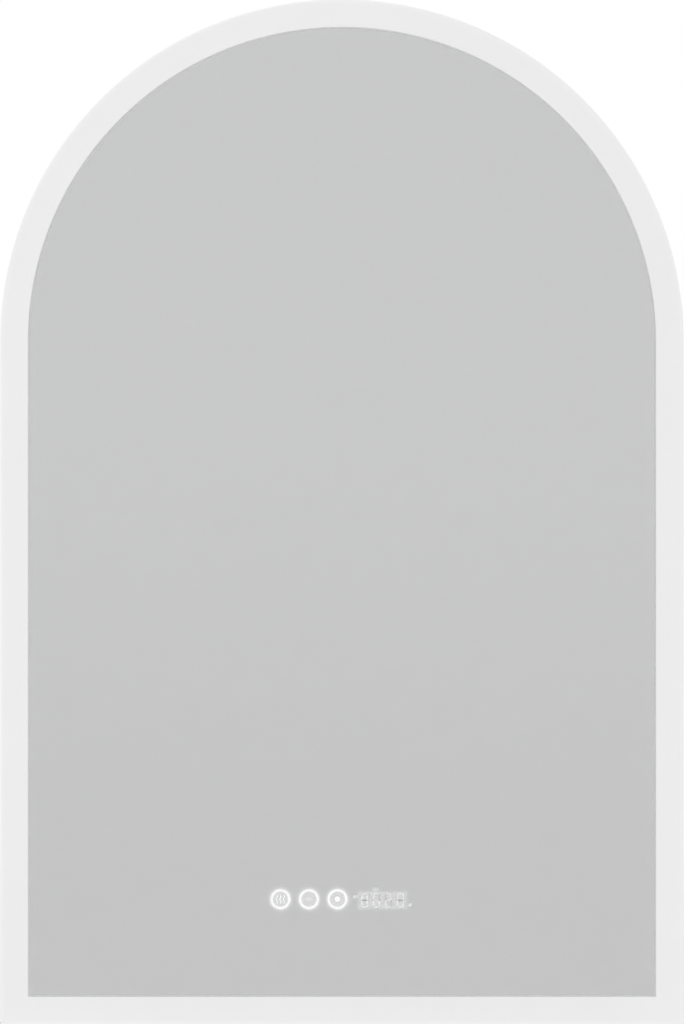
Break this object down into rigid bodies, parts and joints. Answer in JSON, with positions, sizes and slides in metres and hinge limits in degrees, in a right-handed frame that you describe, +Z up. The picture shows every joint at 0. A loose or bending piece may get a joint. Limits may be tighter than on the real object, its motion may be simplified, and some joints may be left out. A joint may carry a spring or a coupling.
{
  "type": "smart mirror",
  "caption": "Arched wall mirror with a lit opal border, touch-key rings and a digital clock behind the silver, a demister, and a hook-on hanging rail.",
  "frame": {"origin": "on the wall plane, at the middle of the wall rail's line of screw holes", "axes": "+X to the right as seen from the front, +Y into the wall, +Z up"},
  "size_m": [0.6, 0.045, 0.8999],
  "materials": {
    "anodised_aluminium": "satin anodised",
    "galvanised_steel": "zinc coated",
    "zinc_screws": "bright zinc",
    "powder_coat": "fine powder coat",
    "die_cast": "as cast",
    "black_rubber": "matte",
    "grey_foam": "closed-cell foam",
    "opal_acrylic": "opal, lit from behind",
    "clear_glass": "polished float glass",
    "silver": "silvered",
    "safety_film": "backing film",
    "heating_film": "amber film",
    "copper_foil": "bare foil",
    "black_plastic": "fine texture",
    "strip_white": "white mask",
    "led_phosphor": "phosphor lens",
    "driver_aluminium": "extruded",
    "board_green": "solder mask",
    "cell_steel": "bright",
    "display_black": "smoked",
    "segment_lit": "lit segment",
    "segment_dark": "unlit segment",
    "brass": "bare",
    "tinned_lug": "tinned",
    "ivory_plastic": "satin",
    "brown_insulation": "smooth",
    "blue_insulation": "smooth",
    "earth_insulation": "smooth, striped",
    "white_insulation": "smooth",
    "black_insulation": "smooth"
  },
  "bodies": {
    "wall_rail": {"wall_rail": "anodised_aluminium"},
    "mirror": {"hanger_rail": "anodised_aluminium", "frame_arch": "anodised_aluminium", "frame_bottom": "anodised_aluminium", "hanger_backing": "galvanised_steel", "hanger_rivets": "zinc_screws", "panel_screws": "zinc_screws", "corner_screws": "zinc_screws", "driver_bolts": "zinc_screws", "cover_screws": "zinc_screws", "access_screws": "zinc_screws", "clamp_screws": "zinc_screws", "rear_panel": "powder_coat", "access_cover": "powder_coat", "corner_keys": "die_cast", "wall_bumpers": "black_rubber", "cable_grommet": "black_rubber", "panel_gasket": "grey_foam", "glass_tape": "grey_foam", "housing_tape": "grey_foam", "border_tape": "grey_foam", "light_border": "opal_acrylic", "touch_diffusers": "opal_acrylic", "mirror_glass": "clear_glass", "silver_coat": "silver", "safety_film": "safety_film", "demister_pad": "heating_film", "demister_track": "copper_foil", "touch_foils": "copper_foil", "driver_end_caps": "black_plastic", "control_housing": "black_plastic", "control_cover": "black_plastic", "demister_joint": "black_plastic", "cable_clamp": "black_plastic", "board_parts": "black_plastic", "led_strip": "strip_white", "led_chips": "led_phosphor", "ring_leds": "led_phosphor", "driver_case": "driver_aluminium", "control_board": "board_green", "clock_battery": "cell_steel", "display_body": "display_black", "digits_lit": "segment_lit", "digits_dark": "segment_dark", "touch_pins": "brass", "terminal_screws": "brass", "earth_stud": "brass", "earth_nut": "brass", "earth_lug": "tinned_lug", "terminal_box": "ivory_plastic", "terminal_block": "ivory_plastic", "wire_clips": "ivory_plastic", "live_wire": "brown_insulation", "neutral_wire": "blue_insulation", "earth_wire": "earth_insulation", "led_lead": "white_insulation", "control_lead": "white_insulation", "demister_lead": "black_insulation"}
  },
  "joints": [
    {"name": "mirror_lift", "type": "slide", "parent": "wall_rail", "child": "mirror", "axis": [0, 0, 1], "range_m": [0, 0.014]}
  ]
}
